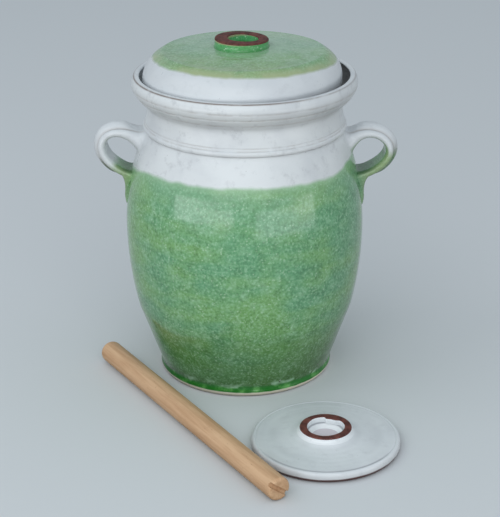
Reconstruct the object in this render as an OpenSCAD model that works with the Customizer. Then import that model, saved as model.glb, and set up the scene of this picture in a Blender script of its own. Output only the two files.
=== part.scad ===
// Fermentation crock with a water channel, its lid, its weight and its wooden stick.
// Millimetres, +Z up. The origin is on the crock's axis, on the table.

/* [Crock body] */
// Radius of the foot
foot_r = 77.9; // [66:0.1:84]
// Height of the upright band above the foot
foot_h = 8; // [4:0.5:14]
// Bevel round the edge of the foot
foot_bevel = 1.5; // [0.5:0.1:3]
// Height where the straight lower wall ends
flank_z = 65; // [45:1:85]
// How far the straight lower wall ends inside the widest radius
flank_in = 8.4; // [8:0.1:15]
// Height of the widest part
belly_z = 138; // [120:1:155]
// Radius of the widest part
belly_r = 106.3; // [100:0.1:125]
// Height of the body up to the seam under the collar
body_h = 229; // [205:1:250]
// Thickness of the wall
body_wall = 7; // [5:0.1:9]
// Thickness of the floor
floor_t = 9; // [6:0.1:13]
// Rounding inside, between floor and wall
floor_fillet = 12; // [4:0.5:20]

/* [Collar and water channel] */
// Radius of the mouth
mouth_r = 73.5; // [66:0.1:80]
// Thickness of the throat's wall, between mouth and channel
throat_wall = 5.5; // [4:0.1:7]
// Height of the throat above the channel's floor
throat_h = 13; // [8:0.5:16]
// How far the outside of the neck stands out from the mouth
neck_out = 12; // [9:0.1:13]
// Thickness of the neck's wall
neck_wall = 6; // [4.5:0.1:7]
// Height of the neck, from the bead to the channel
neck_h = 16.5; // [12:0.5:28]
// How far the shoulder's edge stands out from the neck
shoulder_out = 1.4; // [0.8:0.1:4]
// How far the bead over the seam stands out from the shoulder's edge
bead_out = 2.8; // [2:0.1:4]
// Height of the bead
bead_h = 5; // [3:0.1:8]
// Depth of the groove over the bead
groove_in = 1.5; // [0.5:0.1:1.9]
// Height of the channel's outside, from the neck to its widest part
bowl_h = 20.5; // [14:0.5:24]
// Height from the widest part of the channel to the rim
rim_h = 6.4; // [5.5:0.1:9]
// Thickness of the rim and of the channel's outer wall
rim_t = 5.2; // [3.5:0.1:6]
// How far the rim draws in from the channel's widest part
rim_in = 2; // [1:0.1:3]
// Rounding of the flat rim's two edges
lip_round = 1.3; // [0.5:0.1:1.7]
// Height of the channel's floor above the top of the neck
channel_up = 10; // [8:0.1:12]

/* [Lid] */
// Clear gap between the throat and the lid's skirt
lid_gap = 3.6; // [3:0.1:5]
// Thickness of the lid's skirt
lid_wall = 4; // [4:0.1:6.5]
// Clear gap between the lid's skirt and the channel's rim
rim_gap = 5.3; // [4:0.1:7]
// How far the lid sits off the crock's axis, as a share of its gap to the throat
lid_off = 0.9; // [0:0.05:0.9]
// Direction in which the lid sits off the axis, in degrees
lid_off_angle = 232; // [0:1:359]
// Gap between the channel's floor and the resting lid
seat_gap = 0.3; // [0.2:0.05:0.5]
// Height of the lid, from skirt to flat top
lid_h = 37.2; // [33:0.1:42]
// Thickness of the lid's top
lid_top_t = 6; // [5:0.1:8]
// Height of the rounding between the skirt and the top
lid_round_h = 24.3; // [18:0.1:28]
// How far the rounding's corner lies under the top
lid_corner = 8.4; // [6:0.1:14]
// Width of the sloping edge round the flat top
lid_edge = 16.5; // [12:0.1:24]
// How far the top rises from its edge to the knob
lid_dome = 2.5; // [0:0.1:4]

/* [Lid knob] */
// Outer radius of the knob ring
knob_r = 23.3; // [19:0.1:28]
// Thickness of the knob ring's wall
knob_wall = 10.2; // [8:0.1:13]
// Height of the knob ring
knob_h = 7.6; // [6:0.1:14]
// How far the knob ring flares at its foot
knob_flare = 1.2; // [0.5:0.1:6]
// Bevel along the knob ring's top edges
knob_bevel = 0.8; // [0.4:0.1:1.5]
// How far the knob stands to the right of the lid's middle
knob_right = 0.7; // [-3:0.1:3]
// How far the knob stands behind the lid's middle
knob_back = 3.5; // [-4:0.1:4]

/* [Straps of both handles] */
// Width of the strap
strap_w = 28; // [20:0.5:34]
// Thickness of the strap
strap_t = 7; // [4.5:0.1:8]
// Height of the strap's crown across its width
strap_crown = 3; // [0:0.1:4]
// Extra thickness where the strap leaves the shoulder
root_swell = 6; // [2:0.1:7]
// Length of the smeared tail under the lower root
tail_len = 25; // [20:0.5:36]
// Width of the tail
tail_w = 20; // [12:0.5:26]
// How far the tail stands out from the wall
tail_t = 2.6; // [2:0.1:6]

/* [Left handle] */
// How far the upper root lies under the seam
left_drop = 11.3; // [8:0.1:15]
// Height between the upper and the lower root
left_span = 30.9; // [26:0.1:38]
// Length of the curve's pull at the upper root
left_upper_pull = 42.5; // [34:0.5:48]
// Rise of the curve at the upper root, in degrees
left_upper_angle = 36.7; // [28:0.1:44]
// Length of the curve's pull at the lower root
left_lower_pull = 46.5; // [38:0.5:54]
// Rise of the curve at the lower root, in degrees
left_lower_angle = 21.6; // [16:0.1:28]

/* [Right handle] */
// How far the upper root lies under the seam
right_drop = 13.4; // [10:0.1:17]
// Height between the upper and the lower root
right_span = 31.5; // [27:0.1:38]
// Length of the curve's pull at the upper root
right_upper_pull = 32.5; // [26:0.5:40]
// Rise of the curve at the upper root, in degrees
right_upper_angle = 50.4; // [42:0.1:56]
// Length of the curve's pull at the lower root
right_lower_pull = 55.5; // [46:0.5:62]
// Rise of the curve at the lower root, in degrees
right_lower_angle = 18.4; // [14:0.1:25]

/* [Weight] */
// How much smaller the weight's radius is than the mouth's
weight_play = 11; // [6:0.5:16]
// Height of the weight's rim
weight_rim_h = 9; // [7:0.1:12]
// Width of the rounded rim bead
weight_bead = 3.2; // [2:0.1:4]
// Depth of the groove inside the rim bead
weight_groove = 0.6; // [0.3:0.1:1]
// How far the plate rises from its rim to the knob ring
weight_rise = 4.2; // [3:0.1:7]
// How much of that rise is the even slope outside the flare
weight_slope = 1.4; // [0.5:0.1:2.5]
// Outer radius of the weight's knob ring
weight_knob_r = 21.7; // [18:0.1:26]
// Thickness of the weight's knob ring
weight_knob_wall = 6.1; // [4:0.1:7]
// Height of the weight's knob ring
weight_knob_h = 4.7; // [4:0.1:8]
// How far the weight's knob ring flares at its foot
weight_knob_flare = 2.4; // [1:0.1:4]
// Bevel along the weight's knob ring
weight_knob_bevel = 0.4; // [0.2:0.1:1]
// Depth of the socket in the plate
socket_depth = 4.5; // [3:0.1:7]
// How much narrower the socket is at its bottom
socket_taper = 3.5; // [0:0.1:5]

/* [Stick] */
// Diameter of the stick
stick_d = 20; // [14:0.5:26]
// Length of the stick
stick_len = 292.1; // [220:0.1:320]
// Rounding of the plain end
stick_round = 5; // [2:0.1:6.5]
// Rounding of the slotted end
slot_round = 3; // [0.5:0.1:6]
// Width of the slot
slot_w = 4; // [3:0.1:5]
// Depth of the slot
slot_depth = 4; // [3:0.1:14]
// Angle between the slot and the upright, in degrees
slot_angle = 51.5; // [0:0.5:90]

/* [Places on the table] */
// Clear gap between the foot and the stick
stick_gap = 21.5; // [16:0.1:30]
// Direction in which the slotted end points, in degrees
stick_angle = -58.1; // [-75:0.1:-45]
// Length of the stick behind its nearest point to the crock
stick_back = 65.7; // [30:0.1:100]
// Clear gap between the belly and the weight, seen from above
weight_gap = 7.6; // [5:0.1:20]
// Clear gap between the stick and the weight
weight_stick_gap = 7.5; // [4:0.1:20]

/* [Hidden] */
$fn = 96;
// Points along one rounded stretch of a profile
steps = 12;
// Points closer than this are one point
same_point = 0.001;
// Cross-sections along a handle, and sides of each
strap_rings = 32;
strap_sides = 20;
// Exponent that flattens the strap's oval section: 1 is an ellipse
strap_flatness = 0.6;
// Share of the strap along which its upper root thins out
root_share = 1 / 3;
// Share of the strap after which the tail leaves it
tail_start = 0.9;

// Radii that follow from the mouth
throat_r = mouth_r + throat_wall;
skirt_r = throat_r + lid_gap;
lid_r = skirt_r + lid_wall;
rim_r = lid_r + rim_gap + rim_t;
bowl_r = rim_r + rim_in;
neck_r = mouth_r + neck_out;
shoulder_r = neck_r + shoulder_out;
bead_r = shoulder_r + bead_out;
groove_r = bead_r - groove_in;
flank_r = belly_r - flank_in;

// Heights of the collar and the lid
bead_top = body_h + bead_h;
neck_top = bead_top + neck_h;
bowl_z = neck_top + bowl_h;
rim_z = bowl_z + rim_h;
lip_z = rim_z - lip_round;
channel_z = neck_top + channel_up;
throat_z = channel_z + throat_h;
skirt_z = channel_z + seat_gap;
lid_z = skirt_z + lid_h;
knob_z = lid_z + lid_dome;

// Places of the lid and of its knob, seen from above
lid_at = lid_off * lid_gap * [cos(lid_off_angle), sin(lid_off_angle)];
knob_off = [knob_right, knob_back];
knob_at = lid_at + knob_off;
knob_seat_r = knob_r + knob_flare + norm(knob_off);

// Radius at height z of the arc that is upright at [r0, z0] and passes through [r1, z1]
function arc_radius(r0, z0, r1, z1) = (pow(z1 - z0, 2) + pow(r0 - r1, 2)) / (2 * (r0 - r1));
function arc_at(z, r0, z0, r1, z1) =
    let (big = arc_radius(r0, z0, r1, z1))
    r0 - big + sqrt(big * big - pow(z - z0, 2));

// Outer radius of the body at height z
function body_out(z) =
    z <= foot_h ? foot_r
    : z < flank_z ? foot_r + (flank_r - foot_r) * (z - foot_h) / (flank_z - foot_h)
    : z < belly_z ? arc_at(z, belly_r, belly_z, flank_r, flank_z)
    : arc_at(z, belly_r, belly_z, shoulder_r, body_h);

// Values from z0 to z1 in equal steps
function levels(z0, z1, n = steps) = [for (i = [0:n]) z0 + (z1 - z0) * i / n];

// Curve from a to c that heads for b at first
function bend(a, b, c, n = steps) =
    [for (i = [0:n]) let (t = i / n) (1 - t) * (1 - t) * a + 2 * t * (1 - t) * b + t * t * c];

// Part of a circle round c
function ring_arc(c, r, from, to, n = steps) =
    [for (i = [0:n]) let (a = from + (to - from) * i / n) c + r * [cos(a), sin(a)]];

function reversed(list) = [for (i = [len(list) - 1:-1:0]) list[i]];

// Runs of points put end to end, with a point that two runs share taken once
function joined(runs) =
    let (points = [for (run = runs) each run])
    [for (i = [0:len(points) - 1])
        if (i == 0 || norm(points[i] - points[max(0, i - 1)]) > same_point) points[i]];

// Outside of the body, from the foot's bevel to the seam
body_outside = joined([
    [[foot_r - foot_bevel, 0], [foot_r, foot_bevel], [foot_r, foot_h]],
    [for (z = levels(flank_z, belly_z)) [body_out(z), z]],
    [for (z = levels(belly_z, body_h, 2 * steps)) [body_out(z), z]]
]);

// Inside of the body, from the seam down to the middle of the floor
fillet_z = floor_t + floor_fillet;
body_inside = joined([
    [for (z = levels(body_h, belly_z, 2 * steps)) [body_out(z) - body_wall, z]],
    [for (z = levels(belly_z, flank_z)) [body_out(z) - body_wall, z]],
    bend(
        [body_out(fillet_z) - body_wall, fillet_z],
        [body_out(floor_t) - body_wall, floor_t],
        [body_out(floor_t) - body_wall - floor_fillet, floor_t]
    ),
    [[0, floor_t]]
]);

module crock_body() {
    color("#78b088")
    rotate_extrude()
    polygon(concat([[0, 0]], body_outside, body_inside));
}

// The body with nothing hollow in it, to trim what is joined on
module body_filled() {
    rotate_extrude()
    polygon(concat([[0, 0]], body_outside, [[0, body_h]]));
}

// Outside of the channel between the neck and the lip
function bowl_out(z) =
    z < bowl_z
    ? bowl_r - (bowl_r - neck_r) * pow((bowl_z - z) / bowl_h, 2)
    : bowl_r - rim_in * pow((z - bowl_z) / (lip_z - bowl_z), 2);

module gutter_collar() {
    throat_lip = throat_wall / 2;
    inside = [
        [shoulder_r - body_wall, body_h],
        [neck_r - neck_wall, neck_top - neck_wall],
        [mouth_r, channel_z]
    ];
    throat = ring_arc([mouth_r + throat_lip, throat_z - throat_lip], throat_lip, 180, 0);
    channel = concat(
        [[throat_r, channel_z]],
        [for (z = levels(channel_z, lip_z)) [bowl_out(z) - rim_t, z]]
    );
    lip = concat(
        ring_arc([rim_r - rim_t + lip_round, lip_z], lip_round, 180, 90),
        ring_arc([rim_r - lip_round, lip_z], lip_round, 90, 0)
    );
    bowl = [for (z = levels(lip_z, neck_top, 2 * steps)) [bowl_out(z), z]];
    neck = [for (z = levels(neck_top, bead_top))
        [neck_r + (groove_r - neck_r) * pow((neck_top - z) / neck_h, 2), z]];
    bead = [for (a = levels(90, -90))
        [groove_r + groove_in * cos(a), body_h + bead_h / 2 * (1 + sin(a))]];
    color("#d4d9dc")
    rotate_extrude()
    polygon(joined([inside, throat, channel, lip, bowl, neck, bead]));
}

// Middle line of a handle in the plane of X and Z, outward along +X: root, two pulls and root
function handle_curve(drop, span, upper_pull, upper_angle, lower_pull, lower_angle) =
    let (
        upper_z = body_h - drop,
        lower_z = upper_z - span,
        upper_root = [body_out(upper_z), upper_z],
        lower_root = [body_out(lower_z), lower_z]
    )
    [
        upper_root,
        upper_root + upper_pull * [cos(upper_angle), sin(upper_angle)],
        lower_root + lower_pull * [cos(lower_angle), sin(lower_angle)],
        lower_root
    ];
left_curve = handle_curve(
    left_drop, left_span, left_upper_pull, left_upper_angle, left_lower_pull, left_lower_angle
);
right_curve = handle_curve(
    right_drop, right_span, right_upper_pull, right_upper_angle, right_lower_pull, right_lower_angle
);
function on_curve(p, t) =
    pow(1 - t, 3) * p[0] + 3 * t * pow(1 - t, 2) * p[1] + 3 * t * t * (1 - t) * p[2] + pow(t, 3) * p[3];
function along_curve(p, t) =
    let (d = pow(1 - t, 2) * (p[1] - p[0]) + 2 * t * (1 - t) * (p[2] - p[1]) + t * t * (p[3] - p[2]))
    d / norm(d);

// One cross-section of the strap: a crowned oval with flattened faces, square to the curve
function flattened(v) = sign(v) * pow(abs(v), strap_flatness);
function strap_ring(middle, heading, thick) =
    let (across = [-heading[1], heading[0]])
    [for (i = [0:strap_sides - 1])
        let (
            a = 360 * i / strap_sides,
            side = flattened(sin(a)),
            p = middle + across * (flattened(cos(a)) * thick / 2 + strap_crown * (1 - side * side))
        )
        [p[0], side * strap_w / 2, p[1]]];

// Thickness of the strap at share t of its length
function strap_thick(t) = strap_t + root_swell * pow(max(0, 1 - t / root_share), 2);

// The strap, with a stub at each end that reaches into the body's wall
module strap(curve) {
    stub = strap_t + root_swell;
    first = along_curve(curve, 0);
    last = along_curve(curve, 1);
    rings = concat(
        [strap_ring(curve[0] - stub * first, first, strap_thick(0))],
        [for (t = levels(0, 1, strap_rings))
            strap_ring(on_curve(curve, t), along_curve(curve, t), strap_thick(t))],
        [strap_ring(curve[3] + stub * last, last, strap_thick(1))]
    );
    points = [for (r = rings) each r];
    top = len(rings) - 1;
    sides = [for (k = [0:top - 1], i = [0:strap_sides - 1])
        let (j = (i + 1) % strap_sides, a = k * strap_sides, b = a + strap_sides)
        each [[a + i, b + j, b + i], [a + i, a + j, b + j]]];
    end = top * strap_sides;
    ends = [for (i = [1:strap_sides - 2]) each [[0, i + 1, i], [end, end + i, end + i + 1]]];
    polyhedron(points, concat(sides, ends));
}

// The tail under the lower root: a tab that lies on the wall, with a round end
module strap_tail(curve) {
    lower_z = curve[3][1];
    tail_z = lower_z - tail_len;
    turn_z = lower_z - strap_t;
    round_z = tail_z + tail_w / 2;
    inner_r = curve[3][0] - strap_t;
    tab = [body_out(round_z) + tail_t, round_z];
    wiped = joined([
        bend(on_curve(curve, tail_start), [body_out(turn_z) + tail_t, turn_z], tab),
        bend(tab, [body_out(tail_z) + tail_t, tail_z], [body_out(tail_z), tail_z])
    ]);
    intersection() {
        translate([0, tail_w / 2, 0])
        rotate([90, 0, 0])
        linear_extrude(tail_w)
        polygon(concat(wiped, [[inner_r, tail_z], [inner_r, lower_z]]));
        rotate([90, 0, 90])
        linear_extrude(2 * belly_r)
        union() {
            translate([0, round_z])
            circle(d = tail_w);
            translate([-tail_w / 2, round_z])
            square([tail_w, body_h - round_z]);
        }
    }
}

// A handle on the +X side, trimmed to the shoulder
module handle(curve) {
    difference() {
        union() {
            strap(curve);
            strap_tail(curve);
        }
        body_filled();
    }
}

module left_handle() {
    color("#dfe4e3")
    mirror([1, 0, 0])
    handle(left_curve);
}

module right_handle() {
    color("#dfe4e3")
    handle(right_curve);
}

// Half section of the lid's outside or inside: upright at radius r, then bending into a flat top
function lid_half(r, top) =
    bend([r, top - lid_round_h], [r, top - lid_corner], [r - lid_edge, top], 2 * steps);

module lid_shell() {
    outside = lid_half(lid_r, lid_z);
    inside = lid_half(skirt_r, lid_z - lid_top_t);
    color("#83b992")
    translate([lid_at[0], lid_at[1], 0])
    rotate_extrude()
    polygon(concat(
        [[skirt_r, skirt_z], [lid_r, skirt_z]],
        outside,
        [[knob_seat_r, knob_z], [0, knob_z], [0, lid_z - lid_top_t]],
        reversed(inside)
    ));
}

// Hollow knob with a flared foot and a flat bevelled top, standing at height z
module knob(r, wall, height, flare, bevel, z) {
    hole = r - wall;
    rotate_extrude()
    translate([0, z])
    polygon(concat(
        [[hole, 0]],
        bend([r + flare, 0], [r, flare / 2], [r, height - bevel]),
        [[r - bevel, height], [hole + bevel, height], [hole, height - bevel]]
    ));
}

module lid_knob_ring() {
    color("#3f9d4c")
    translate([knob_at[0], knob_at[1], 0])
    knob(knob_r, knob_wall, knob_h, knob_flare, knob_bevel, knob_z);
}

// The stick's axis runs along heading, at stick_off from the crock's axis
heading = [cos(stick_angle), sin(stick_angle)];
inward = [-sin(stick_angle), cos(stick_angle)];
stick_off = foot_r + stick_gap + stick_d / 2;

// The weight clears the belly by one gap and the stick by another
weight_r = mouth_r - weight_play;
weight_away = belly_r + weight_gap + weight_r;
weight_side = stick_d / 2 + weight_stick_gap + weight_r - stick_off;
weight_at = weight_side * inward + sqrt(pow(weight_away, 2) - pow(weight_side, 2)) * heading;
weight_seat = weight_rim_h + weight_rise;

module weight_plate() {
    socket_r = weight_knob_r - weight_knob_wall;
    socket_z = weight_seat - socket_depth;
    knob_foot_r = weight_knob_r + weight_knob_flare;
    bead_in = weight_r - weight_bead;
    half = weight_rim_h / 2;
    bead_lower = bend(
        [weight_r - half, 0],
        [weight_r, 0],
        [weight_r, half]
    );
    bead_upper = bend(
        [weight_r, half],
        [weight_r, weight_rim_h],
        [bead_in, weight_rim_h]
    );
    slope = bend(
        [bead_in - 2 * weight_groove, weight_rim_h],
        [knob_foot_r + weight_rise, weight_rim_h + weight_slope],
        [knob_foot_r, weight_seat]
    );
    color("#cdd5d9")
    translate([weight_at[0], weight_at[1], 0])
    rotate_extrude()
    polygon(joined([
        [[0, 0]],
        bead_lower,
        bead_upper,
        [[bead_in - weight_groove, weight_rim_h - weight_groove]],
        slope,
        [[socket_r, weight_seat], [socket_r - socket_taper, socket_z], [0, socket_z]]
    ]));
}

module weight_knob_ring() {
    color("#6b332c")
    translate([weight_at[0], weight_at[1], 0])
    knob(
        weight_knob_r, weight_knob_wall, weight_knob_h,
        weight_knob_flare, weight_knob_bevel, weight_seat
    );
}

module stick() {
    radius = stick_d / 2;
    back = -stick_off * inward - stick_back * heading;
    color("#c59f7f")
    translate([back[0], back[1], radius])
    rotate([0, 90, stick_angle])
    difference() {
        rotate_extrude()
        polygon(concat(
            [[0, 0]],
            bend([radius - stick_round, 0], [radius, 0], [radius, stick_round]),
            bend([radius, stick_len - slot_round], [radius, stick_len], [radius - slot_round, stick_len]),
            [[0, stick_len]]
        ));
        // Slot across the end, with a round bottom
        translate([0, 0, stick_len - slot_depth + slot_w / 2])
        rotate([0, 0, slot_angle]) {
            translate([-stick_d, -slot_w / 2, 0])
            cube([2 * stick_d, slot_w, slot_depth]);
            translate([-stick_d, 0, 0])
            rotate([0, 90, 0])
            cylinder(d = slot_w, h = 2 * stick_d);
        }
    }
}

crock_body();
gutter_collar();
left_handle();
right_handle();
lid_shell();
lid_knob_ring();
weight_plate();
weight_knob_ring();
stick();
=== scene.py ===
# Looks of a hand-thrown fermentation crock with its lid, its weight and its wooden stick.
# Shapes are worked out in millimetres in the frame's own axes, and meshes are written in metres.
import math

import bpy
import bmesh
import numpy as np
from mathutils import Matrix, Vector


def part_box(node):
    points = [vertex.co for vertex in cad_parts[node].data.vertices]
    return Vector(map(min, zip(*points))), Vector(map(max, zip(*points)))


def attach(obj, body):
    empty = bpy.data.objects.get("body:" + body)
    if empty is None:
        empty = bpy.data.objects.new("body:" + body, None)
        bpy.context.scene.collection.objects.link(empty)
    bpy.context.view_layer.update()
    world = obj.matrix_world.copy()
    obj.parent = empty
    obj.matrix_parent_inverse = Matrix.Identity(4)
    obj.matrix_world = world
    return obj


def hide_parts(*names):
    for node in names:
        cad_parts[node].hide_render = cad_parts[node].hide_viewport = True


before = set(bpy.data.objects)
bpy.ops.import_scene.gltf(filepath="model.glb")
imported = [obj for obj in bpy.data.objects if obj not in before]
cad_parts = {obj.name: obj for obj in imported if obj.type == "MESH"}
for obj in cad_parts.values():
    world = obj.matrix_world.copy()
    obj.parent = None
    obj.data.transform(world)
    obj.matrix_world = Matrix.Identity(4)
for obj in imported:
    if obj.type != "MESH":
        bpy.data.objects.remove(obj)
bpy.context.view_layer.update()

MM = 0.001
TURN = 2 * math.pi


# Sizes taken from the frame
def corners(node):
    low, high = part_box(node)
    return low / MM, high / MM


body_high = corners("crock_body")[1]
collar_high = corners("gutter_collar")[1]
lid_low, lid_high = corners("lid_shell")
knob_low, knob_high = corners("lid_knob_ring")
plate_low, plate_high = corners("weight_plate")
ring_low, ring_high = corners("weight_knob_ring")
stick_high = corners("stick")[1]

BELLY_R = body_high.x
BODY_H = body_high.z
RIM_Z = collar_high.z
LID_X = (lid_low.x + lid_high.x) / 2
LID_Y = (lid_low.y + lid_high.y) / 2
LID_R = (lid_high.x - lid_low.x) / 2
SKIRT_Z = lid_low.z
LID_TOP = lid_high.z
KNOB_X = (knob_low.x + knob_high.x) / 2
KNOB_Y = (knob_low.y + knob_high.y) / 2
KNOB_H = knob_high.z - knob_low.z
WEIGHT_X = (plate_low.x + plate_high.x) / 2
WEIGHT_Y = (plate_low.y + plate_high.y) / 2
WEIGHT_R = (plate_high.x - plate_low.x) / 2
WEIGHT_SEAT = plate_high.z
WEIGHT_RING_H = ring_high.z - ring_low.z
STICK_R = stick_high.z / 2

# Sizes of the crock that the boxes don't give
FOOT_R = 77.9
FOOT_H = 8.0
FOOT_ROLL = 1.3
FOOT_ROLL_Z = 4.4
FOOT_ROLL_W = 2.8
FOOT_BEVEL = 1.5
FOOT_RING = 9.0
FOOT_RING_IN = 12.0
FOOT_HOLLOW = 0.6
FLANK_Z = 65.0
FLANK_IN = 8.4
BELLY_Z = 138.0
SHOULDER_R = 86.9
BODY_WALL = 7.0
FLOOR_T = 9.0
FLOOR_FILLET = 12.0

# Sizes of the collar
MOUTH_R = 73.5
THROAT_R = 79.0
THROAT_Z = 273.5
NECK_R = 85.5
NECK_WALL = 6.0
BEAD_TOP = 234.0
NECK_TOP = 252.0
BOWL_SOFT = 2.2
GROOVE_R = 88.2
BEAD_R = 89.7
BOWL_R = 99.1
BOWL_Z = 271.0
RIM_T = 5.2
RIM_IN = 2.0
RIM_R = BOWL_R - RIM_IN
LIP_ROUND = 1.3
LIP_Z = RIM_Z - LIP_ROUND
CHANNEL_Z = 260.5
# Fine turned lines round the collar: height, half width and depth
COLLAR_LINES = (
    (268.4, 0.8, 0.18),
    (262.8, 0.8, 0.4),
    (256.4, 0.9, 0.5),
    (236.0, 0.5, 0.4),
    (234.0, 0.5, 0.3),
)

# Sizes of the lid and its knob
LID_DOME = 2.5
LID_Z = LID_TOP - LID_DOME
LID_WALL = 4.0
LID_TOP_T = 6.0
LID_ROUND_H = 24.3
LID_CORNER = 8.4
LID_EDGE = 16.5
LID_RIDGE = 0.3
KNOB_R = 23.3
KNOB_WALL = 10.2
KNOB_FLARE = 1.2
KNOB_BEVEL = 1.0
KNOB_SEAT_R = 28.1
KNOB_HOLE_SHIFT = 1.2
KNOB_TILT = 0.8
KNOB_SINK = 0.4

# Sizes of the handles: both straps, then the curve of each
STRAP_W = 28.0
STRAP_T = 7.0
STRAP_FLAT = 9.0
STRAP_CROWN = 4.2
STRAP_GROOVE = 1.2
ROOT_SWELL = 6.0
ROOT_SHARE = 1 / 3
TAIL_LEN = 25.0
TAIL_TAB = 16.0
TAIL_T = 2.6
TAIL_NARROW = 0.4
ROOT_FLARE = 6.0
ROOT_FLARE_INSIDE = 5.0
LOWER_FLARE = 2.5
ROOT_SINK = 0.4
ROOT_LIFT = 0.3
TAIL_SINK = 0.5
BEND_NARROW = 0.1
BEND_DROP = 3.0
BEND_LIFT = 0.6
CAP_DEPTH = 3.0
# Rings of the mesh in each stretch, and the shares of the curve where the plain strap starts and ends
UPPER_RINGS = 14
STRAP_RINGS = 72
LOWER_RINGS = 16
TAIL_RINGS = 10
STRAP_FROM = 0.1
STRAP_TO = 0.95
# Each root: its height, the length of the curve's pull there and the pull's rise in degrees
LEFT_UPPER = (217.7, 42.5, 36.7)
LEFT_LOWER = (186.8, 46.5, 21.6)
RIGHT_UPPER = (215.6, 32.5, 50.4)
RIGHT_LOWER = (184.1, 57.0, 18.4)

# Sizes of the weight
WEIGHT_RIM_H = 9.0
WEIGHT_BEAD = 3.2
WEIGHT_GROOVE = 0.7
WEIGHT_SLOPE = 1.4
WEIGHT_KNOB_R = 21.7
WEIGHT_KNOB_WALL = 6.1
WEIGHT_KNOB_FLARE = 2.4
WEIGHT_KNOB_BEVEL = 0.7
WEIGHT_KNOB_BULGE = 2.2
WEIGHT_KNOB_NOTCH = 0.8
WEIGHT_KNOB_SINK = 0.3
WEIGHT_SOCKET_Z = 8.7
WEIGHT_SOCKET_TAPER = 3.5

# Sizes and place of the stick
STICK_LEN = 292.1
STICK_ROUND = 5.0
SLOT_ROUND = 3.0
SLOT_W = 4.0
SLOT_DEPTH = 4.0
SLOT_ANGLE = math.radians(51.5)
STICK_ANGLE = math.radians(-58.1)
STICK_GAP = 21.5
STICK_OFF = FOOT_R + STICK_GAP + STICK_R
STICK_BACK = 65.7
STICK_SEGMENTS = 96
SLOT_CREASE = math.radians(35)

# Traces of the hand: the crock leans a little towards its top, with soft dents and throwing rings
LEAN = 1.2
LEAN_FROM = 175.0
LEAN_TO = 235.0
DENT = 0.35
RING = 0.025
RING_STEP = 9.5
LID_BASE_LEAN = 0.3
LID_TOP_LEAN = 2.2
LID_BACK_DROP = 0.6
LID_RINGS = 0.04
LID_RINGS_STEP = 7.3
WEIGHT_RINGS = 0.03
WEIGHT_RINGS_STEP = 5.7
SEGMENTS = 224
KNOB_SEGMENTS = 160

# Glaze lines as tilted planes: height where x and y are 0, and the fall along x and y
BODY_LINE = (200.6, 0.0032, 0.0451)
LID_LINE = (291.1, 0.0152, 0.0367)
LEFT_LINE = (195.0, 0.0, 0.0)
RIGHT_LINE = (207.0, 0.0, 0.0)
GREEN_CLIMB = 9.0
GREEN_FALL = 6.0

# Small faults in the glaze: place and radius
BODY_PIT = ((29.8, -72.3, 13.0), 1.6)
BODY_FLAKE = ((30.6, -73.0, 14.6), 1.1)
BODY_CHIP = ((-38.4, -66.5, 8.5), 1.2)
WEIGHT_SPECK = ((46.8, -174.8, 10.5), 1.0)
WEIGHT_FAINT = ((33.6, -205.1, 9.5), 0.9)
WEIGHT_DOT = ((64.7, -216.7, 9.6), 0.8)


# Colours
def colour(red, green, blue):
    """Linear colour of one that is given in 8-bit screen values."""
    values = [v / 255 for v in (red, green, blue)]
    linear = [v / 12.92 if v <= 0.04045 else ((v + 0.055) / 1.055) ** 2.4 for v in values]
    return (*linear, 1.0)


WHITE = colour(224, 229, 231)
WHITE_CLOUD = colour(208, 213, 217)
WHITE_GREY = colour(176, 180, 184)
WHITE_THIN_AND_SHADE = colour(150, 136, 124)
WHITE_SHADE = colour(150, 152, 158)
SOCKET_FLOOR = colour(216, 209, 214)
SOCKET_PAINTED_LIGHT = colour(242, 246, 247)
RIM_BREAK = colour(104, 84, 72)
GREEN_WARM = colour(122, 174, 110)
GREEN_COOL = colour(106, 165, 122)
GREEN_PALE = colour(162, 206, 170)
GREEN_THIN = colour(162, 199, 164)
GREEN_FLECK = colour(190, 222, 190)
GREEN_LOW_SHADE = colour(60, 108, 44)
GREEN_POOL = colour(30, 116, 36)
POOL_PATCH_AND_HIGHLIGHT = colour(104, 176, 92)
GREEN_DEEP = colour(34, 72, 38)
GREEN_KNOB = colour(70, 172, 98)
LID_REFLECTION = colour(168, 196, 172)
OLIVE = colour(168, 180, 138)
OLIVE_SHADE = colour(74, 78, 50)
TAIL_GREY = colour(158, 176, 150)
TAN = colour(176, 164, 128)
CREAM = colour(240, 234, 214)
CLAY = colour(112, 64, 56)
CLAY_DARK = colour(78, 42, 38)
CLAY_PALE = colour(156, 112, 96)
CHANNEL_SHADE = colour(92, 88, 84)
PIT = colour(58, 48, 42)
BEECH = colour(211, 175, 138)
BEECH_DARK = colour(190, 151, 115)
BEECH_FLECK = colour(148, 106, 80)
BEECH_SLOT_SHADE = colour(128, 88, 62)
FLOOR_PALE = colour(222, 226, 228)
FLOOR_DIM = colour(92, 82, 68)
ROOM = colour(176, 183, 189)


# Curves and profiles: lists of (radius, height) points
def levels(start, end, count):
    return [start + (end - start) * i / count for i in range(count + 1)]


def bend(a, b, c, count=24):
    """Curve from a to c that heads for b at first."""
    a, b, c = np.array(a), np.array(b), np.array(c)
    return [(1 - t) ** 2 * a + 2 * t * (1 - t) * b + t * t * c for t in levels(0, 1, count)]


def ring_arc(centre, radius, start, end, count=24):
    """Part of a circle, with its angles in degrees."""
    turns = [math.radians(a) for a in levels(start, end, count)]
    return [(centre[0] + radius * math.cos(a), centre[1] + radius * math.sin(a)) for a in turns]


def even(points, gap):
    """The same line with points about one gap apart."""
    points = np.array([tuple(p) for p in points], float)
    steps = np.hypot(*np.diff(points, axis=0).T)
    points = points[np.concatenate([[True], steps > 1e-6])]
    along = np.concatenate([[0], np.cumsum(np.hypot(*np.diff(points, axis=0).T))])
    count = max(2, int(round(along[-1] / gap)))
    places = np.linspace(0, along[-1], count + 1)
    return np.column_stack([np.interp(places, along, points[:, k]) for k in (0, 1)])


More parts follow.
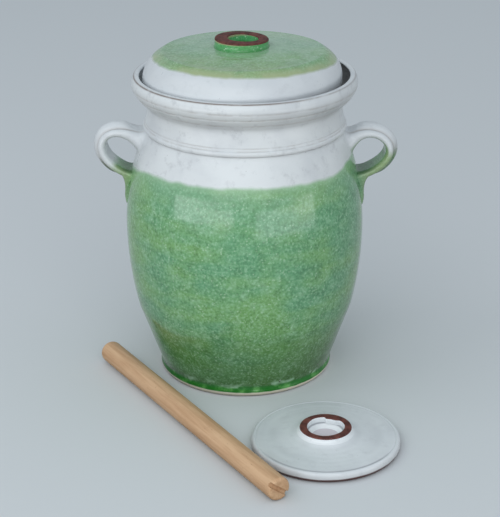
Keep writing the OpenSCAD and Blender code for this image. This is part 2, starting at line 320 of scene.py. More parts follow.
def softened(points, gap, blur):
    """An even line with its corners rounded over about the blur's length. Its two ends stay."""
    line = even(points, gap)
    reach = int(math.ceil(3 * blur / gap))
    weights = np.exp(-0.5 * (np.arange(-reach, reach + 1) * gap / blur) ** 2)
    weights /= weights.sum()
    before = 2 * line[0] - line[reach:0:-1]
    after = 2 * line[-1] - line[-2:-reach - 2:-1]
    longer = np.vstack([before, line, after])
    columns = [np.convolve(longer[:, k], weights, mode="valid") for k in (0, 1)]
    return np.column_stack(columns)


def smooth(value, low, high):
    """0 below low, 1 above high and a soft step between."""
    share = np.clip((value - low) / (high - low), 0, 1)
    return share * share * (3 - 2 * share)


def hump(value, middle, width):
    return np.exp(-((value - middle) / width) ** 2)


# Outline of the crock, and the place of each point on the turned pieces
def arc_at(z, r0, z0, r1, z1):
    """Radius at height z of the arc that is upright at (r0, z0) and passes through (r1, z1)."""
    big = ((z1 - z0) ** 2 + (r0 - r1) ** 2) / (2 * (r0 - r1))
    return r0 - big + np.sqrt(big * big - (z - z0) ** 2)


def body_out(z):
    flank_r = BELLY_R - FLANK_IN
    z = np.asarray(z, float)
    lower = FOOT_R + (flank_r - FOOT_R) * (z - FOOT_H) / (FLANK_Z - FOOT_H)
    middle = arc_at(np.clip(z, FLANK_Z, BELLY_Z), BELLY_R, BELLY_Z, flank_r, FLANK_Z)
    upper = arc_at(np.clip(z, BELLY_Z, BODY_H), BELLY_R, BELLY_Z, SHOULDER_R, BODY_H)
    return np.where(z <= FOOT_H, FOOT_R, np.where(z < FLANK_Z, lower, np.where(z < BELLY_Z, middle, upper)))


def lean_at(z):
    return LEAN * smooth(z, LEAN_FROM, LEAN_TO)


def thrown(r, z, a):
    """Place of a turned point on the crock, with the lean, the dents and the rings of throwing."""
    dents = DENT * (0.6 * np.sin(2 * a + 0.7 + z / 90) + 0.4 * np.sin(3 * a + 2.1 - z / 70))
    rings = RING * np.sin(TURN * z / RING_STEP + 0.8 * np.sin(a + z / 40) + 2 * np.sin(z / 17))
    share = smooth(r, 5, 60)
    grown = r + share * (dents + rings)
    return grown * np.cos(a) + lean_at(z), grown * np.sin(a), z + 0 * a


def lid_axis(z):
    """Where the lid's axis stands at height z: it tips a little to the right."""
    share = (z - SKIRT_Z) / (LID_Z - SKIRT_Z)
    return LID_X + LID_BASE_LEAN + (LID_TOP_LEAN - LID_BASE_LEAN) * share


def turned_lid(r, z, a):
    """Place of a point of the lid, on its own axis, with rings on its top."""
    dents = 0.3 * np.sin(2 * a + 1.9) + 0.15 * np.sin(3 * a + 0.4)
    rings = LID_RINGS * np.sin(TURN * r / LID_RINGS_STEP + 0.9 * np.sin(a) + r / 9)
    on_top = smooth(z, LID_Z - 8, LID_Z - 1) * smooth(r, 26, 34)
    back = LID_BACK_DROP * smooth(r * np.sin(a), 15, 78) * smooth(z, LID_Z - 14, LID_Z - 1)
    grown = r + smooth(r, 30, 70) * dents
    return lid_axis(z) + grown * np.cos(a), LID_Y + grown * np.sin(a), z + on_top * rings - back


def turned_knob(r, z, a):
    wobble = 0.22 * np.sin(2 * a + 0.6) + 0.16 * np.sin(3 * a + 2.2) + 0.1 * np.sin(5 * a)
    grown = r + wobble
    lift = -KNOB_TILT * np.cos(a) * smooth(z, LID_TOP, LID_TOP + KNOB_H)
    hole = KNOB_HOLE_SHIFT * smooth(-r, -KNOB_R + 3, -KNOB_R + KNOB_WALL - 1)
    return KNOB_X + hole + grown * np.cos(a), KNOB_Y + grown * np.sin(a), z + lift


def turned_weight(r, z, a):
    dents = 0.25 * np.sin(2 * a + 0.3) + 0.15 * np.sin(3 * a + 1.2)
    rings = WEIGHT_RINGS * np.sin(TURN * r / WEIGHT_RINGS_STEP + 0.7 * np.sin(a))
    on_top = smooth(z, WEIGHT_RIM_H - 1.5, WEIGHT_RIM_H) * smooth(r, 24, 28) * smooth(-r, -58, -54)
    grown = r + smooth(r, 20, 60) * dents
    return WEIGHT_X + grown * np.cos(a), WEIGHT_Y + grown * np.sin(a), z + on_top * rings


def turned_weight_ring(r, z, a):
    """The weight's knob ring, whose hole has a bulge and a notch side by side at the back."""
    inner = smooth(-r, -(WEIGHT_KNOB_R - 1.5), -(WEIGHT_KNOB_R - WEIGHT_KNOB_WALL + 0.8))
    uneven = 0.3 * np.sin(3 * a + 0.9) + 0.2 * np.sin(2 * a)
    degrees = np.degrees(a)
    bulge = smooth(degrees, 36, 52) * smooth(-degrees, -91, -84)
    notch = smooth(degrees, 86, 94) * smooth(-degrees, -150, -120)
    hole = uneven - WEIGHT_KNOB_BULGE * bulge + WEIGHT_KNOB_NOTCH * notch
    grown = r + inner * hole + 0.15 * np.sin(2 * a + 1.1)
    return WEIGHT_X + grown * np.cos(a), WEIGHT_Y + grown * np.sin(a), z + 0 * a


# Meshes and pieces
def mesh_of(name, points, faces, paint=None):
    mesh = bpy.data.meshes.new(name)
    mesh.from_pydata([tuple(p) for p in np.asarray(points) * MM], [], faces)
    if paint is not None:
        mesh.polygons.foreach_set("material_index", paint)
    mesh.polygons.foreach_set("use_smooth", [True] * len(mesh.polygons))
    mesh.update()
    return mesh


def set_mark(mesh, name, values):
    """Gives each point of a mesh a number that its material can read."""
    mark = mesh.attributes.new(name, "FLOAT", "POINT")
    mark.data.foreach_set("value", np.asarray(values, np.float32))


def lathe(name, runs, place, closed=False, around=SEGMENTS, marks=None):
    """Turns runs of (radius, height) points round an axis. Each run takes the material of its own number.

    Each mark is a function of radius and height.
    """
    profile, paint = [], []
    for number, run in enumerate(runs):
        for point in run:
            if profile and math.dist(profile[-1], point) < 1e-4:
                continue
            profile.append(tuple(point))
            paint.append(number)
    angles = np.arange(around) * TURN / around
    points, rows, sources = [], [], []
    for r, z in profile:
        first = len(points)
        row_angles = angles if r > 1e-6 else angles[:1]
        x, y, height = place(np.full(len(row_angles), r), np.full(len(row_angles), z), row_angles)
        points.extend(zip(x, y, height))
        sources.extend([(r, z)] * len(row_angles))
        rows.append(list(range(first, first + len(row_angles))))
    if closed:
        rows.append(rows[0])
        paint.append(paint[0])
    faces, numbers = [], []
    for low, high, number in zip(rows, rows[1:], paint[1:]):
        for j in range(around):
            k = (j + 1) % around
            if len(low) == 1:
                face = (low[0], high[k], high[j])
            elif len(high) == 1:
                face = (low[j], low[k], high[0])
            else:
                face = (low[j], low[k], high[k], high[j])
            faces.append(face)
            numbers.append(number)
    mesh = mesh_of(name, points, faces, numbers)
    for mark, value in (marks or {}).items():
        set_mark(mesh, mark, [value(r, z) for r, z in sources])
    return mesh


# Pieces that the low windows light, so that the floor close to a window isn't burnt out
lit = bpy.data.collections.new("lit_pieces")


def new_piece(mesh, body, node, materials, matrix=None):
    """Shows a mesh in place of a node, moving with a body."""
    piece = bpy.data.objects.new(mesh.name, mesh)
    bpy.context.scene.collection.objects.link(piece)
    lit.objects.link(piece)
    if matrix is not None:
        piece.matrix_world = matrix
    for material in materials:
        mesh.materials.append(material)
    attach(piece, body)
    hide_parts(node)


# Materials
class Paint:
    """One node material. Its methods add nodes and give back the socket that holds their result."""

    def __init__(self, name):
        self.material = bpy.data.materials.new(name)
        self.material.use_nodes = True
        self.tree = self.material.node_tree
        self.shader = self.tree.nodes["Principled BSDF"]
        self.place = self.node("ShaderNodeTexCoord").outputs["Object"]

    def node(self, kind, **settings):
        made = self.tree.nodes.new(kind)
        for key, value in settings.items():
            setattr(made, key, value)
        return made

    def feed(self, socket, value):
        if isinstance(value, bpy.types.NodeSocket):
            self.tree.links.new(value, socket)
        else:
            socket.default_value = value

    def maths(self, operation, a, b=0.0, clamp=False):
        made = self.node("ShaderNodeMath", operation=operation, use_clamp=clamp)
        self.feed(made.inputs[0], a)
        self.feed(made.inputs[1], b)
        return made.outputs[0]

    def add(self, a, b):
        return self.maths("ADD", a, b)

    def times(self, a, b):
        return self.maths("MULTIPLY", a, b)

    def less(self, a, b):
        return self.maths("SUBTRACT", a, b)

    def ramp(self, value, low, high, start=0.0, end=1.0):
        """A soft step from start, where value is low, to end, where it is high."""
        made = self.node("ShaderNodeMapRange", interpolation_type="SMOOTHSTEP", clamp=True)
        for socket, number in zip(made.inputs, (value, low, high, start, end)):
            self.feed(socket, number)
        return made.outputs[0]

    def stretched(self, x, y, z):
        made = self.node("ShaderNodeMapping")
        made.inputs["Scale"].default_value = (x, y, z)
        self.feed(made.inputs["Vector"], self.place)
        return made.outputs[0]

    def noise(self, size, detail=2.0, rough=0.5, place=None):
        """Cloudy values from 0 to 1 whose clouds are about one size across, in millimetres."""
        made = self.node("ShaderNodeTexNoise")
        self.feed(made.inputs["Vector"], place or self.place)
        made.inputs["Scale"].default_value = 1 / (size * MM)
        made.inputs["Detail"].default_value = detail
        made.inputs["Roughness"].default_value = rough
        return made.outputs[0]

    def waver(self, size, reach):
        """A cloudy shift of up to about half the reach either way, in millimetres."""
        return self.times(self.less(self.noise(size), 0.5), reach)

    def dots(self, size, place=None):
        """Distance from the nearest of many points that lie about one size apart, in millimetres."""
        made = self.node("ShaderNodeTexVoronoi")
        self.feed(made.inputs["Vector"], place or self.place)
        made.inputs["Scale"].default_value = 1 / (size * MM)
        return made.outputs["Distance"]

    def spot(self, place_and_radius):
        """1 at one place, falling softly to 0 at the radius."""
        place, radius = place_and_radius
        made = self.node("ShaderNodeVectorMath", operation="DISTANCE")
        self.feed(made.inputs[0], self.place)
        made.inputs[1].default_value = Vector(place) * MM
        off = self.add(self.times(made.outputs["Value"], 1 / MM), self.waver(1.5, 1.2))
        return self.ramp(off, radius * 0.4, radius, 1.0, 0.0)

    def axis(self, letter):
        """One coordinate in millimetres."""
        made = self.node("ShaderNodeSeparateXYZ")
        self.feed(made.inputs[0], self.place)
        return self.times(made.outputs[letter], 1 / MM)

    def above(self, line):
        """Height above a tilted glaze line, in millimetres."""
        height, fall_x, fall_y = line
        tilt = self.add(self.times(self.axis("X"), fall_x), self.times(self.axis("Y"), fall_y))
        return self.less(self.add(self.axis("Z"), tilt), height)

    def mark(self, name):
        """A value that the mesh carries at its points."""
        made = self.node("ShaderNodeAttribute", attribute_name=name)
        return made.outputs["Fac"]

    def mix(self, share, a, b):
        made = self.node("ShaderNodeMix", data_type="RGBA")
        self.feed(made.inputs[0], share)
        self.feed(made.inputs[6], a)
        self.feed(made.inputs[7], b)
        return made.outputs[2]

    def blend(self, share, a, b):
        """Mixes two numbers."""
        made = self.node("ShaderNodeMix", data_type="FLOAT")
        self.feed(made.inputs[0], share)
        self.feed(made.inputs[2], a)
        self.feed(made.inputs[3], b)
        return made.outputs[0]

    def finish(self, paint, rough, height, depth, gloss=0.5):
        """Sets colour, roughness and bump. The depth of the bump is in millimetres."""
        self.feed(self.shader.inputs["Base Color"], paint)
        self.feed(self.shader.inputs["Roughness"], rough)
        self.shader.inputs["Specular IOR Level"].default_value = gloss
        made = self.node("ShaderNodeBump")
        made.inputs["Strength"].default_value = 1.0
        made.inputs["Distance"].default_value = depth * MM
        self.feed(made.inputs["Height"], height)
        self.feed(self.shader.inputs["Normal"], made.outputs[0])
        return self.material


def white_coat(p):
    """Cloudy white glaze with a few pits: its colour and its roughness."""
    clouds = p.ramp(p.noise(42, 4, 0.55), 0.42, 0.72)
    paint = p.mix(p.times(clouds, 0.8), WHITE, WHITE_CLOUD)
    patches = p.ramp(p.noise(10, 4, 0.65), 0.52, 0.76)
    paint = p.mix(p.times(patches, 0.42), paint, WHITE_GREY)
    pits = p.times(p.ramp(p.dots(5.5), 0.03, 0.085, 1.0, 0.0), p.ramp(p.noise(16), 0.5, 0.58))
    paint = p.mix(p.times(pits, 0.6), paint, PIT)
    rough = p.add(0.24, p.times(p.noise(9, 3), 0.12))
    return paint, rough


def green_coat(p, pale=0.5, low=0.0):
    """Mottled green glaze, densely flecked with pale crystals: its colour and its roughness.

    Low is the share of darker green painted towards the foot as shade.
    """
    clouds = p.add(p.times(p.noise(60, 2), 0.6), p.times(p.noise(16, 2, 0.5, p.stretched(0.2, 0.2, 1)), 0.4))
    paint = p.mix(p.ramp(clouds, 0.4, 0.6), GREEN_COOL, GREEN_WARM)
    paint = p.mix(low, paint, GREEN_LOW_SHADE)
    pale = p.times(p.less(1.0, p.times(low, 0.55)), pale)
    mottle = p.noise(9, 3, 0.6)
    paint = p.mix(p.ramp(mottle, 0.5, 0.72, 0.0, 0.22), paint, GREEN_DEEP)
    paint = p.mix(p.times(p.ramp(mottle, 0.3, 0.5, 0.7, 0.0), pale), paint, GREEN_PALE)
    grain = p.noise(2.3, 3, 0.6)
    paint = p.mix(p.ramp(grain, 0.48, 0.7, 0.0, 0.34), paint, GREEN_DEEP)
    crystals = p.ramp(grain, 0.3, 0.5, 1.1, 0.0)
    paint = p.mix(p.times(crystals, pale), paint, GREEN_PALE)
    fleck = p.ramp(p.dots(2.8), 0.12, 0.36, 1.0, 0.0)
    fleck = p.times(fleck, p.ramp(p.noise(7, 3), 0.42, 0.62))
    paint = p.mix(p.times(fleck, pale), paint, GREEN_FLECK)
    rough = p.add(0.09, p.times(p.noise(6, 3), 0.09))
    return paint, rough


def glaze_height(p):
    """Height of the glaze's own relief: soft waves and a fine skin."""
    return p.add(p.times(p.noise(9), 0.85), p.times(p.noise(1.6), 0.15))


def body_glaze():
    p = Paint("body_glaze")
    white, white_rough = white_coat(p)
    foot = p.add(p.axis("Z"), p.waver(9, 6.0))
    # Painted shade: the green darkens towards the foot.
    green, green_rough = green_coat(p, pale=0.5, low=p.ramp(foot, 8.0, 100.0, 0.9, 0.0))
    line = p.add(p.above(BODY_LINE), p.waver(17, 4.0))
    # The green climbs beside the right handle and falls beside the left one
    line = p.less(line, p.ramp(p.axis("X"), 74.0, 101.0, 0.0, GREEN_CLIMB))
    line = p.add(line, p.ramp(p.axis("X"), -100.0, -82.0, GREEN_FALL, 0.0))
    thin = p.add(p.ramp(line, -30.0, -4.0, 0.0, 0.3), p.ramp(line, -7.0, -0.5, 0.0, 0.4))
    green = p.mix(thin, green, GREEN_THIN)
    # Dark green pool at the foot, with brighter patches that are partly glaze and partly painted highlight.
    pool = p.mix(p.ramp(p.noise(11, 4, 0.6), 0.46, 0.7), GREEN_POOL, POOL_PATCH_AND_HIGHLIGHT)
    green = p.mix(p.ramp(foot, 8.5, 12.0, 0.9, 0.0), green, pool)
    # Pale band along the pool's upper edge: pale glaze and painted highlight.
    lip = p.times(p.ramp(foot, 8.5, 10.5), p.ramp(foot, 11.5, 14.5, 1.0, 0.0))
    green = p.mix(p.times(lip, p.ramp(p.noise(11), 0.48, 0.62, 0.0, 0.75)), green, GREEN_PALE)
    covered = p.ramp(line, -2.6, 1.6)
    paint = p.mix(covered, green, white)
    paint = p.mix(p.spot(BODY_PIT), paint, PIT)
    paint = p.mix(p.spot(BODY_FLAKE), paint, WHITE)
    paint = p.mix(p.spot(BODY_CHIP), paint, GREEN_PALE)
    edge = p.add(p.axis("Z"), p.waver(6, 0.8))
    paint = p.mix(p.ramp(edge, 3.9, 4.7, 0.95, 0.0), paint, CREAM)
    rough = p.blend(covered, green_rough, white_rough)
    return p.finish(paint, rough, glaze_height(p), depth=0.12)


def collar_glaze():
    """White glaze that breaks to brown along the rim's edge, with the turned lines and the seam darker: thin
    glaze and painted shade.
    """
    p = Paint("collar_glaze")
    paint, rough = white_coat(p)
    # The turned lines and the seam: thin glaze and painted shade.
    lines = p.times(p.mark("line"), p.ramp(p.noise(12), 0.3, 0.6))
    paint = p.mix(p.times(lines, 0.3), paint, WHITE_THIN_AND_SHADE)
    edge = p.times(p.mark("edge"), p.ramp(p.noise(14), 0.25, 0.5, 0.45, 0.95))
    edge = p.times(edge, p.ramp(p.axis("X"), 10.0, 70.0, 1.0, 0.5))
    paint = p.mix(edge, paint, RIM_BREAK)
    return p.finish(paint, rough, glaze_height(p), depth=0.12)


def inner_glaze():
    p = Paint("inner_glaze")
    paint, rough = white_coat(p)
    return p.finish(paint, rough, glaze_height(p), depth=0.12)


def channel_shaded_glaze():
    """White glaze of the water channel, darkened with painted shade, most on its right side."""
    p = Paint("channel_shaded_glaze")
    paint, rough = white_coat(p)
    # Painted shade: the channel's white is mixed towards grey, more to the right.
    paint = p.mix(p.ramp(p.axis("X"), -75.0, 60.0, 0.2, 0.8), paint, CHANNEL_SHADE)
    return p.finish(paint, rough, glaze_height(p), depth=0.12)


def lid_glaze():
    p = Paint("lid_glaze")
    white, white_rough = white_coat(p)
    green, green_rough = green_coat(p, pale=0.6)
    line = p.add(p.above(LID_LINE), p.waver(15, 2.4))
    # Painted reflection: a pale haze on the green top, growing towards the back.
    painted_reflection = p.ramp(p.add(line, p.waver(14, 11.0)), 4.0, 11.0, 0.0, 0.5)
    green = p.mix(painted_reflection, green, LID_REFLECTION)
    olive = p.times(p.ramp(line, 1.0, 8.5, 0.9, 0.0), p.ramp(p.noise(26), 0.35, 0.6, 0.5, 1.0))
    green = p.mix(olive, green, OLIVE)
    covered = p.ramp(line, -1.3, 1.1, 1.0, 0.0)
    paint = p.mix(covered, green, p.mix(0.55, white, WHITE_CLOUD))
    rough = p.blend(covered, green_rough, white_rough)
    return p.finish(paint, rough, glaze_height(p), depth=0.14)


def knob_glaze():
    """Deep green that breaks to a thin pale line under the bare top and pools at the foot."""
    p = Paint("knob_glaze")
    paint, rough = green_coat(p, pale=0.5)
    paint = p.mix(0.6, paint, GREEN_KNOB)
    # Dense pale crystals, which also stand in for sparkling highlights: partly painted highlight.
    fleck = p.times(p.ramp(p.dots(2.6), 0.12, 0.35, 1.0, 0.0), p.ramp(p.noise(5), 0.45, 0.6))
    paint = p.mix(p.times(fleck, 0.85), paint, GREEN_FLECK)
    height = p.less(p.add(p.axis("Z"), p.waver(5, 0.8)), LID_TOP)
    paint = p.mix(p.ramp(height, 0.5, 2.5, 0.5, 0.0), paint, GREEN_POOL)
    tan = p.times(p.ramp(height, KNOB_H - 2.4, KNOB_H - 1.7), p.ramp(p.axis("X"), -20.0, 16.0, 0.8, 0.2))
    paint = p.mix(tan, paint, TAN)
    return p.finish(paint, rough, glaze_height(p), depth=0.3)


def bare_clay(name, dark, light):
    p = Paint(name)
    paint = p.mix(p.ramp(p.noise(6, 4, 0.6), 0.35, 0.65), dark, light)
    grain = p.noise(0.9, 3, 0.7)
    paint = p.mix(p.ramp(grain, 0.58, 0.72, 0.0, 0.3), paint, CLAY_PALE)
    rough = p.add(0.62, p.times(grain, 0.2))
    return p.finish(paint, rough, grain, depth=0.18, gloss=0.35)


def handle_glaze(name, line, inner, under):
    """White strap whose lower part is green, breaking to olive along its edges.

    Inner is how much higher the green reaches inside the loop, and under is the share of painted shade, dark
    olive, on the strap's underside below it.
    """
    p = Paint(name)
    white, white_rough = white_coat(p)
    white = p.mix(0.4, white, WHITE_CLOUD)
    green, green_rough = green_coat(p, pale=0.4)
    # Painted shade in the grooves beside the crown.
    white = p.mix(p.times(p.mark("groove"), 0.55), white, WHITE_THIN_AND_SHADE)
    green = p.mix(p.times(p.mark("edge"), 0.6), green, OLIVE)
    green = p.mix(p.times(p.mark("tail"), 0.5), green, TAIL_GREY)
    # Dark green in the loop's corner by the wall: pooled glaze, deepened with painted shade.
    green = p.mix(p.times(p.mark("corner"), 0.65), green, GREEN_DEEP)
    reach = p.add(p.above(line), p.waver(12, 7.0))
    reach = p.less(reach, p.add(p.times(p.mark("inner"), inner), p.times(p.mark("corner"), 10.0)))
    covered = p.ramp(reach, -8.0, 6.0)
    paint = p.mix(covered, green, white)
    # Painted shade: dark olive where the strap's outer face turns under.
    paint = p.mix(p.times(p.mark("under"), p.ramp(reach, -2.0, 12.0, under, 0.0)), paint, OLIVE_SHADE)
    rough = p.blend(covered, green_rough, white_rough)
    return p.finish(paint, rough, glaze_height(p), depth=0.15)


def weight_glaze():
    p = Paint("weight_glaze")
    paint, rough = white_coat(p)
    paint = p.mix(0.45, paint, WHITE_CLOUD)
    for speck, share in ((WEIGHT_SPECK, 0.8), (WEIGHT_FAINT, 0.3), (WEIGHT_DOT, 0.3)):
        paint = p.mix(p.times(p.spot(speck), share), paint, PIT)
    bands = p.times(p.mark("band"), p.ramp(p.noise(28), 0.35, 0.65))
    paint = p.mix(p.times(bands, 0.22), paint, WHITE_GREY)
    # Painted shade: the groove is darkened, most at the front.
    groove = p.times(p.mark("line"), p.ramp(p.axis("Y"), -206.0, -184.0, 0.8, 0.0))
    paint = p.mix(groove, paint, WHITE_SHADE)
    # Painted light: the socket's wall is whiter than the glaze, a painted reflection that also lifts its
    # shade.
    paint = p.mix(p.mark("well"), paint, SOCKET_PAINTED_LIGHT)
    paint = p.mix(p.mark("floor"), paint, SOCKET_FLOOR)
    # Painted shade in the crease where the ring's wall meets the socket.
    paint = p.mix(p.times(p.mark("crease"), 0.85), paint, WHITE_SHADE)
    # Bare clay along the underside, carried up the side as painted shade.
    edge = p.add(p.axis("Z"), p.waver(14, 1.6))
    paint = p.mix(p.ramp(edge, 2.8, 4.2, 1.0, 0.0), paint, CLAY_DARK)
    return p.finish(paint, rough, glaze_height(p), depth=0.14)


def beech(name, slot=False):
    """Sanded wood with its grain along the stick's own X axis."""
    p = Paint(name)
    grain = p.noise(3.0, 4, 0.6, p.stretched(0.06, 1, 1))
    paint = p.mix(p.ramp(grain, 0.35, 0.7), BEECH, BEECH_DARK)
    bands = p.noise(9.0, 2, 0.5, p.stretched(0.1, 1, 1))
    paint = p.mix(p.ramp(bands, 0.5, 0.75, 0.0, 0.45), paint, BEECH_DARK)
    flecks = p.ramp(p.dots(1.5, p.stretched(0.22, 1, 1)), 0.08, 0.2, 1.0, 0.0)
    flecks = p.times(flecks, p.ramp(p.noise(4), 0.42, 0.6))
    paint = p.mix(p.times(flecks, 0.55), paint, BEECH_FLECK)
    # The slot's faces are darker: end grain, with painted shade in the slot.
    if slot:
        paint = p.mix(0.75, paint, BEECH_SLOT_SHADE)
    rough = p.add(0.5, p.times(grain, 0.2))
    relief = p.add(p.times(grain, 0.5), p.times(p.noise(0.7), 0.3))
    return p.finish(paint, rough, relief, depth=0.1, gloss=0.35)


# The crock's body: bare foot, glazed outside, white inside
def make_body(clay, white):
    outside = [
        (float(body_out(z)) + FOOT_ROLL * hump(z, FOOT_ROLL_Z, FOOT_ROLL_W), z)
        for z in levels(FOOT_BEVEL, BODY_H, 260)
    ]
    outside = softened([(FOOT_R - FOOT_BEVEL, 0), *outside], gap=0.9, blur=0.8)
    under = [(0, FOOT_HOLLOW), (FOOT_R - FOOT_RING_IN, FOOT_HOLLOW)]
    under += [(FOOT_R - FOOT_RING, 0), tuple(outside[0])]
    fillet_z = FLOOR_T + FLOOR_FILLET
    fillet_r = float(body_out(fillet_z)) - BODY_WALL
    floor_r = float(body_out(FLOOR_T)) - BODY_WALL
    flat_r = floor_r - FLOOR_FILLET
    inside = [(float(body_out(z)) - BODY_WALL, z) for z in levels(BODY_H, FLANK_Z, 60)]
    inside += bend((fillet_r, fillet_z), (floor_r, FLOOR_T), (flat_r, FLOOR_T))
    inside = [*even(inside, gap=3.0), *even([(flat_r, FLOOR_T), (0, FLOOR_T)], gap=8.0)]
    mesh = lathe("glazed_body", [even(under, gap=4.0), outside, inside], thrown)
    new_piece(mesh, "crock", "crock_body", [clay, body_glaze(), white])


# The collar: bead, neck, water channel and throat, all under white glaze
def bowl_out(z):
    lower = BOWL_R - (BOWL_R - NECK_R) * ((BOWL_Z - z) / (BOWL_Z - NECK_TOP)) ** 2
    upper = BOWL_R - RIM_IN * ((z - BOWL_Z) / (LIP_Z - BOWL_Z)) ** 2
    return lower if z < BOWL_Z else upper


def make_collar(shaded_channel):
    throat_lip = (THROAT_R - MOUTH_R) / 2
    inside = [
        (SHOULDER_R - BODY_WALL, BODY_H),
        (NECK_R - NECK_WALL, NECK_TOP - NECK_WALL),
        (MOUTH_R, CHANNEL_Z),
    ]
    throat = ring_arc((MOUTH_R + throat_lip, THROAT_Z - throat_lip), throat_lip, 180, 0)
    channel = [(THROAT_R, CHANNEL_Z)]
    channel += [(bowl_out(z) - RIM_T, z) for z in levels(CHANNEL_Z, LIP_Z, 16)]
    lip = ring_arc((RIM_R - RIM_T + LIP_ROUND, LIP_Z), LIP_ROUND, 180, 90, 8)
    lip += ring_arc((RIM_R - LIP_ROUND, LIP_Z), LIP_ROUND, 90, 0, 8)
    bowl = [(bowl_out(z), z) for z in levels(LIP_Z, NECK_TOP, 40)]
    neck_h = NECK_TOP - BEAD_TOP
    flare = GROOVE_R - NECK_R
    neck = [(NECK_R + flare * ((NECK_TOP - z) / neck_h) ** 2, z) for z in levels(NECK_TOP, BEAD_TOP, 30)]
    half = (BEAD_TOP - BODY_H) / 2
    bead = [
        (GROOVE_R + (BEAD_R - GROOVE_R) * math.sin(a), BODY_H + half * (1 + math.cos(a)))
        for a in levels(0, math.pi, 20)
    ]
    hidden = softened([*inside, *throat, *channel], gap=1.2, blur=0.8)
    first_bare = int(np.argmax((hidden[:, 0] > THROAT_R - 0.2) & (hidden[:, 1] < THROAT_Z - 4)))
    side = softened([*bowl, *neck], gap=0.5, blur=BOWL_SOFT)
    shown = softened([*channel[-1:], *lip, *side, *bead], gap=0.5, blur=0.35)
    outer = shown[:, 0] > RIM_R - RIM_T / 2
    below = shown[:, 1] < BOWL_Z
    for line_z, width, depth in COLLAR_LINES:
        shown[:, 0] -= depth * hump(shown[:, 1], line_z, width) * (outer | below)

    def line(r, z):
        near = max(hump(z, line_z, width) for line_z, width, _ in COLLAR_LINES)
        seam = hump(z, BODY_H, 0.9)
        return max(near, seam) if r > NECK_R - 1 else 0.0

    def edge(r, z):
        off = math.dist((r, z), (RIM_R - 0.3 * LIP_ROUND, RIM_Z - 0.3 * LIP_ROUND))
        return float(hump(off, 0, 0.75))

    runs = [hidden[:first_bare], hidden[first_bare:], shown]
    mesh = lathe("glazed_collar", runs, thrown, closed=True, marks={"line": line, "edge": edge})
    glaze = collar_glaze()
    new_piece(mesh, "crock", "gutter_collar", [glaze, shaded_channel, glaze])


# Handles: a strap with a crown between two beads, whose roots flare into the wall
def on_curve(p, t):
    return (1 - t) ** 3 * p[0] + 3 * t * (1 - t) ** 2 * p[1] + 3 * t * t * (1 - t) * p[2] + t ** 3 * p[3]


def along_curve(p, t):
    d = (1 - t) ** 2 * (p[1] - p[0]) + 2 * t * (1 - t) * (p[2] - p[1]) + t * t * (p[3] - p[2])
    return d / np.hypot(*d)


def strap_section(thick, ribs):
    """Outline of the strap: columns across its width and out of the loop."""
    half = STRAP_W / 2
    angles = np.radians(np.array(levels(-90, 90, 40)))
    v = half * np.sin(angles)
    edge = np.clip((np.abs(v) - STRAP_FLAT) / (half - STRAP_FLAT), 0, 1)
    profile = thick / 2 * np.sqrt(1 - edge ** 2)
    crown = STRAP_CROWN * np.clip(1 - (v / STRAP_FLAT) ** 2, 0, 1)
    groove = STRAP_GROOVE * hump(np.abs(v), STRAP_FLAT + 0.2, 0.9)
    outer = np.column_stack([v, profile + ribs * (crown - groove)])
    inner = np.column_stack([v, -profile])[::-1]
    return np.vstack([outer, inner[1:-1]])


def outline_normals(outline):
    ahead = np.roll(outline, -1, axis=0) - np.roll(outline, 1, axis=0)
    normals = np.column_stack([-ahead[:, 1], ahead[:, 0]])
    return normals / np.linalg.norm(normals, axis=1)[:, None]


def heading_of(degrees):
    return np.array([math.cos(math.radians(degrees)), math.sin(math.radians(degrees))])


